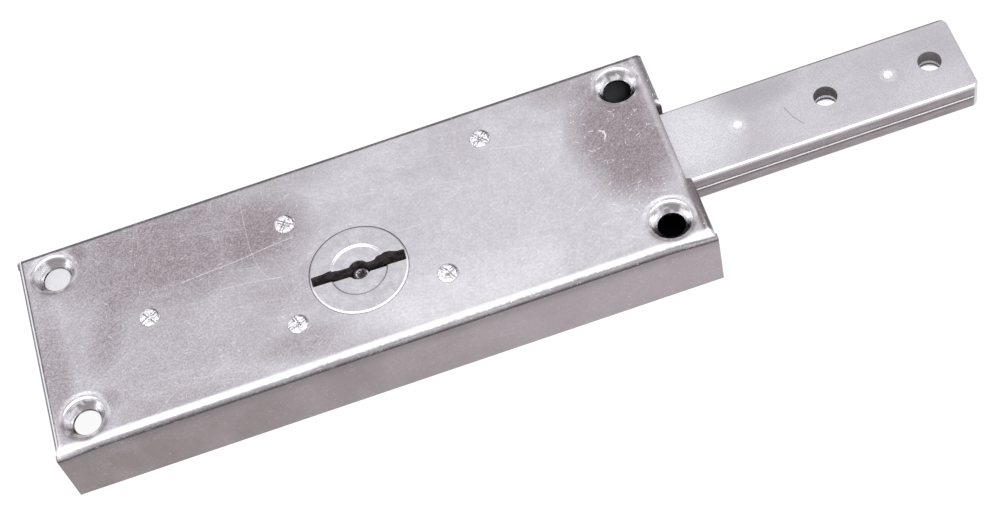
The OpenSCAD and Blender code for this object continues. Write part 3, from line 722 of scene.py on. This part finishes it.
def boltZinc(name):
    look = boltLook
    paint = Finish(name)
    clouds = paint.noise(0.06, 3.0, None, 0.55)
    mottle = paint.noise(0.6, 4.0, None, 0.65)
    colour = paint.mix(paint.step(clouds + mottle * 0.2, 0.45, 0.75), look["low"], look["high"])
    # the cut sides are brown, with a painted highlight line between two dark lines at the joint
    wall = (paint.step(abs(paint.y), 10.35, 10.49) + paint.step(paint.x, 146.3, 146.48)).least(1.0)
    level = paint.add("ShaderNodeMapping", None, {"Vector": paint.spot, "Scale": (0.25, 0.25, 2.4)})
    band = paint.noise(1.0, 2.0, level)
    wallColour = paint.mix(paint.step(band, 0.35, 0.65), look["wallLow"], look["wallHigh"])
    colour = paint.mix(wall, colour, wallColour)
    seam = paint.z - bolt["middle"]
    colour = paint.mix(wall * paint.band(seam, -0.15, 0.1, 0.25), colour, look["seamLight"])
    colour = paint.mix(wall * paint.band(seam, 0.3, 0.1, 0.35) * 0.8, colour, look["seamOver"])
    colour = paint.mix(wall * paint.band(seam, -0.75, 0.15, 0.4) * 0.8, colour, look["seamUnder"])
    swing, points = 0.0, bolt["scratch"]
    for start, end in zip(points, points[1:]):
        swing = paint.stroke(start, end, 0.16) + swing
    colour = paint.mix(swing.least(1.0) * 0.6, colour, look["scratch"])
    # painted shade along the far rolled edge
    farRoll = paint.step(paint.y, 9.6, 9.95)
    colour = paint.mix(farRoll, colour, look["farRoll"])
    # painted shade inside the link holes, with a painted highlight line at the joint
    bore, halo = 0.0, 0.0
    for place in bolt["links"]:
        bore = (1 - paint.step(paint.radius(place, 0), 2.75, 2.9)) + bore
    for place in bolt["rivets"]:
        halo = (1 - paint.step(paint.radius(place, 0), 1.2, 2.6)) + halo
    joint = paint.band(paint.z, bolt["middle"], 0.25, 0.5)
    colour = paint.mix(bore * (1 - joint), colour, look["bore"])
    colour = paint.mix(bore * joint, colour, look["seamLight"])
    # painted highlights: a band along the near edge, a halo round each rivet and a sheen patch on top
    nearEdge = (1 - paint.step(paint.y, -10.2, -8.4)) * paint.step(paint.z, 15.4, 15.7)
    light = (paint.patch(*look["shine"]) * (mottle + 0.7)).least(1.0) * paint.step(paint.z, 16.1, 16.35)
    colour = paint.mix((nearEdge * 0.3 + halo * 0.5 + light * 0.75).least(1.0), colour, look["light"])
    smear = 0.0
    for strength, place in look["smears"]:
        smear = paint.patch(*place) * strength + smear
    colour = paint.mix((smear * (mottle + 0.3)).least(1.0), colour, look["smear"])
    grit = paint.step(paint.noise(3.0, 3.0, None, 0.85), 0.42, 0.58)
    colour = paint.mix(grit * 0.36, colour, look["grit"])
    hair = paint.scratches(3, 26, 0.3, 0.42, 7.0) + paint.scratches(-28, 16, 0.25, 0.38, 13.0)
    bright = (paint.specks(1.2, 0.15, 0.3) * 0.45 + hair * 0.22).least(1.0)
    colour = paint.mix(bright, colour, look["bright"])
    grain = paint.noise(3.4, 4.0, None, 0.65)
    return paint.finish(colour, 0.3 + mottle * 0.1 + wall * 0.08 + bore * 0.4 - bright * 0.08,
                        grain * 0.012 + mottle * 0.02 + bright * 0.008 + band * wall * 0.05,
                        1 - bore * (1 - joint) * 0.9)


def barOutline(start):
    half, tip, corner = bolt["half"], bolt["tip"], bolt["corner"]
    points = [(start, -half)]
    for side, first in ((-1, -90), (1, 0)):
        for n in range(9):
            angle = math.radians(first + n * 90 / 8)
            points.append((tip - corner + corner * math.cos(angle),
                           side * (half - corner) + corner * math.sin(angle)))
    return points + [(start, half)]


def boltHoles(low, high, rivets):
    cutters = [startRod("linkHole", (x, 0), bolt["linkRadius"], low - 1, high + 1, 64)
               for x in bolt["links"]]
    return cutters + [startRod("rivetHole", (x, 0), bolt["rivetRadius"], low - 1, high + 1, 32)
                      for x in rivets]


def rollTop(plate, top, roll, keep):
    # punched plates are rolled over along the upper edge
    pick(plate, "EDGE", lambda a, b: a.z > top - 0.01 and b.z > top - 0.01 and keep(a, b))
    bevelPicked(roll, 4)


def makeBolt():
    top = stampShape("boltTopPlate", barOutline(bolt["topStart"]), bolt["middle"], bolt["top"])
    rollTop(top, bolt["top"], bolt["roll"], lambda a, b: True)
    cutAway(top, boltHoles(bolt["middle"], bolt["top"], bolt["rivets"]))
    softenEdges(top, bolt["edge"], 2, 40)
    finishPiece(top, "bolt", boltZinc("boltTopZinc"), ("bolt_top_plate",))

    start, (tailLow, tailHigh) = bolt["tailStart"], bolt["tail"]
    a1, a2, b1, b2 = bolt["notches"]
    level = bolt["notchTop"]
    full = bolt["fullStart"]
    outline = barOutline(full) + [
        (start + 1, tailHigh), (start, tailHigh - 1), (start, tailLow + 1), (start + 1, tailLow),
        (a1, tailLow), (a1, level), (a2, level), (a2, tailLow), (b1, tailLow), (b1, level),
        (b2, level), (b2, tailLow), (full, tailLow)]
    bottom = stampShape("boltBottomPlate", outline, bolt["low"], bolt["middle"])
    rollTop(bottom, bolt["middle"], bolt["lowRoll"], lambda a, b: a.x > 40 or b.x > 40)
    cutters = boltHoles(bolt["low"], bolt["middle"], bolt["rivets"])
    below, above, (cupRadius, cupDepth) = bolt["low"] - 1, bolt["middle"] + 1, bolt["cup"]
    cutters += [startRod("linkCup", (x, 0), cupRadius, below, bolt["low"] + cupDepth, 64)
                for x in bolt["links"]]
    cutters.append(startRod("stumpHole", bolt["stump"], bolt["stumpRadius"], below, above, 32))
    cutAway(bottom, cutters)
    softenEdges(bottom, bolt["edge"], 2, 40)
    finishPiece(bottom, "bolt", boltZinc("boltBottomZinc"), ("bolt_bottom_plate",))


makeBolt()
print("bolt plates stamped")


# Turned steel: posts, sleeves, screws, rivets
def turnedSteel(name, pale=(0.66, 0.65, 0.68), dark=(0.50, 0.48, 0.50), rough=0.26, centre=(0, 0)):
    paint = Finish(name)
    mottle = paint.noise(0.9, 3.0, None, 0.6)
    around = paint.add("ShaderNodeCombineXYZ", None, {0: paint.radius(*centre) * 3.0, 1: paint.z * 5.0})
    lines = paint.noise(1.0, 2.0, around)
    colour = paint.mix(paint.step(mottle, 0.35, 0.7), dark, pale)
    colour = paint.mix(paint.step(lines, 0.45, 0.62) * 0.3, colour, dark)
    bright = paint.specks(1.6, 0.2, 0.3) * 0.5
    colour = paint.mix(bright, colour, (0.92, 0.92, 0.95))
    return paint.finish(colour, rough + mottle * 0.12, lines * 0.012 + mottle * 0.02)


# Rivet post ends spread by a cross punch
stake = {
    "radius": 2.5, "low": 18.9, "top": 19.16, "grooveHalf": 0.17, "grooveOut": 0.33, "grooveLow": 19.06,
    "turns": (34, 20, 52, 38, 28), "dark": (0.70, 0.68, 0.72), "pale": (0.89, 0.88, 0.91),
    "groove": (0.36, 0.33, 0.35), "shade": (0.12, 0.10, 0.11),
}


def stakeSteel():
    paint = Finish("stakeSteel")
    mottle = paint.noise(1.6, 3.0, None, 0.65)
    colour = paint.mix(paint.step(mottle, 0.35, 0.6), stake["dark"], stake["pale"])
    # painted shade in the cross grooves
    groove = 1 - paint.step(paint.z, stake["top"] - 0.07, stake["top"] - 0.03)
    colour = paint.mix(groove * paint.step(paint.noise(0.9, 1.0), 0.4, 0.5), colour, stake["groove"])
    shade = 0.0
    for x, y in case["stakes"]:
        aim = (paint.x - x) * 0.9 + (paint.y - y) * 0.45
        shade = paint.band(paint.radius(x, y), 2.05, 0.1, 0.3) * paint.step(aim, 0.9, 1.7) + shade
    colour = paint.mix(shade.least(1.0) * 0.85, colour, stake["shade"])
    return paint.finish(colour, 0.15 + mottle * 0.1, mottle * 0.3 + paint.noise(3.0, 2.0) * 0.08)


def makeStakes():
    r, low, top, w = stake["radius"], stake["low"], stake["top"], stake["grooveHalf"]
    profile = [(0, low), (r, low), (r, 19.0), (r - 0.1, 19.07), (r - 0.35, top), (0, top - 0.02)]
    cap = turnShape("stakedEnd", profile, (0, 0), 64)
    cutters = []
    for turn in (0, 90):
        for side in (-1, 1):
            rib = stampShape("groove", [(-3, -w), (3, -w), (3, w), (-3, w)], stake["grooveLow"], 19.6)
            rib.location = (0, side * stake["grooveOut"] * mm, 0)
            settle(rib)
            rib.rotation_euler = (0, 0, math.radians(turn))
            settle(rib)
            cutters.append(rib)
    cutAway(cap, cutters)
    softenEdges(cap, 0.05, 2, 30)
    steel = stakeSteel()
    for number, ((x, y), turn) in enumerate(zip(case["stakes"], stake["turns"]), 1):
        twin = copyOf(cap, f"stakedEnd{number}")
        twin.rotation_euler = (0, 0, math.radians(turn))
        twin.location = (x * mm, y * mm, 0)
        finishPiece(twin, "case", steel)
    bpy.data.objects.remove(cap)


makeStakes()
print("post ends staked")


# Finishes of the frame's own nodes
def leverBrass(name, seed):
    paint = Finish(name)
    mottle = paint.noise(0.5, 3.0, paint.turned(0, (1, 1, 1), (seed, 0, 0)), 0.6)
    grain = paint.noise(1.0, 3.0, paint.turned(8, (0.15, 3.0, 1.0), (seed, 0, 0)))
    colour = paint.mix(paint.step(mottle, 0.35, 0.7), (0.60, 0.42, 0.17), (0.75, 0.56, 0.27))
    colour = paint.mix(paint.step(grain, 0.4, 0.65) * 0.3, colour, (0.45, 0.31, 0.13))
    return paint.finish(colour, 0.28 + mottle * 0.15, grain * 0.01 + mottle * 0.01)


def springSteel(name):
    paint = Finish(name)
    mottle = paint.noise(0.8, 3.0)
    grain = paint.noise(1.0, 3.0, paint.turned(0, (0.2, 2.0, 3.0)))
    colour = paint.mix(paint.step(mottle, 0.35, 0.7), (0.22, 0.25, 0.33), (0.42, 0.43, 0.47))
    return paint.finish(colour, 0.22 + mottle * 0.15, grain * 0.008)


pin = {
    # all three colours are painted light: the first two painted shade, the last the painted glints
    "dark": (0.05, 0.042, 0.045), "pale": (0.14, 0.12, 0.125), "patchyLight": (0.95, 0.94, 0.97),
    "mouth": 1.62, "inner": 1.0,
}


def keyPinSteel():
    # painted shade: the hollow pin deep in the hub is painted dark, with painted glints on the near side of
    # its mouth and the far side of its bore
    paint = Finish("keyPinSteel")
    x, y = rotor["place"]
    ring = paint.radius(x, y)
    mottle = paint.noise(1.2, 3.0, None, 0.6)
    colour = paint.mix(paint.step(mottle, 0.35, 0.7), pin["dark"], pin["pale"])
    across, along = paint.x - x, paint.y - y
    mouth = paint.band(ring, pin["mouth"], 0.1, 0.26) * paint.step(across * 0.6 - along, 0.0, 1.0)
    inner = paint.band(ring, pin["inner"], 0.05, 0.2) * paint.step(along * 0.6 - across, -0.2, 0.6)
    end = paint.step(paint.z, 16.2, 16.5)
    patchyLight = ((mouth + inner * 0.7) * paint.step(paint.noise(1.7, 2.0), 0.35, 0.5) * end).least(1.0)
    colour = paint.mix(patchyLight, colour, pin["patchyLight"])
    return paint.finish(colour, 0.3 + mottle * 0.1, mottle * 0.03, 1 - patchyLight * 0.85)


def dress(name, material):
    nodes[name].data.materials.clear()
    nodes[name].data.materials.append(material)


for number in range(1, 6):
    dress(f"lever_{number}", leverBrass(f"leverBrass{number}", number * 7.3))
    dress(f"lever_spring_{number}", springSteel(f"springSteel{number}"))
pivot, stop, tail, spring, guide = case["stakes"]
steelPlaces = {
    "cover_screws": (0, 0), "pivot_post": pivot, "stop_post": stop, "tail_post": tail,
    "spring_post": spring, "guide_post": guide, "stop_sleeve": stop, "tail_sleeve": tail,
    "guide_sleeve": guide, "pivot_washer": pivot, "bolt_stump": bolt["stump"],
}
for name, centre in steelPlaces.items():
    dress(name, turnedSteel(name + "Steel", centre=centre))
dress("key_pin", keyPinSteel())
dress("bolt_rivets", turnedSteel("rivetSteel", (0.97, 0.97, 0.99), (0.85, 0.85, 0.88), 0.4, (91.8, 0)))
dress("back_cover", caseZinc("coverZinc"))
dress("rotor_keeper", caseZinc("keeperZinc"))
print("frame nodes dressed")


# Floor, world and softbox
studio = {
    "floor": 2.4, "glow": 0.93, "world": (0.86, 0.86, 0.875), "lamp": 22.0, "lampSize": (2.3, 1.28),
    "lampPlace": (0.02, -0.41, 1.13), "paper": ((0.115, 0.115, 0.115), (0.125, 0.125, 0.125)),
}


def makeStudio():
    clearPick()
    bpy.ops.mesh.primitive_plane_add(size=studio["floor"], location=(0.03, 0, -0.0003))
    floor = bpy.context.object
    floor.name = "studioFloor"
    settle(floor)
    paint = Finish("floorPaper")
    tree = paint.tree
    fibres = paint.noise(0.4, 3.0)
    base = paint.mix(fibres, *studio["paper"])
    paint.feed(paint.shader.inputs["Base Color"], base)
    paint.shader.inputs["Roughness"].default_value = 0.95
    paint.shader.inputs["Specular IOR Level"].default_value = 0.0
    direct, glossy, through = paint.add(
        "ShaderNodeLightPath", out=("Is Camera Ray", "Is Glossy Ray", "Is Transmission Ray"))
    seen = direct.most(glossy).most(through)
    glow = paint.add("ShaderNodeEmission", None, {"Color": (1, 1, 1), "Strength": seen * studio["glow"]})
    both = paint.add("ShaderNodeAddShader", None, {0: Wire(tree, paint.shader.outputs[0]), 1: glow})
    tree.links.new(both.socket, tree.nodes["Material Output"].inputs["Surface"])
    floor.data.materials.append(paint.material)

    world = bpy.data.worlds.new("paleRoom")
    world.use_nodes = True
    world.node_tree.nodes["Background"].inputs["Color"].default_value = (*studio["world"], 1)
    world.node_tree.nodes["Background"].inputs["Strength"].default_value = 1.0
    bpy.context.scene.world = world

    bpy.ops.object.light_add(type="AREA", location=studio["lampPlace"])
    softbox = bpy.context.object
    softbox.name = "softbox"
    softbox.data.shape = "RECTANGLE"
    softbox.data.size, softbox.data.size_y = studio["lampSize"]
    softbox.data.energy = studio["lamp"]
    softbox.rotation_mode = "QUATERNION"
    softbox.rotation_quaternion = (Vector((0.03, 0, 0)) - softbox.location).to_track_quat("-Z", "Y")


makeStudio()
bpy.context.scene.view_settings.view_transform = "Standard"
print("studio set")
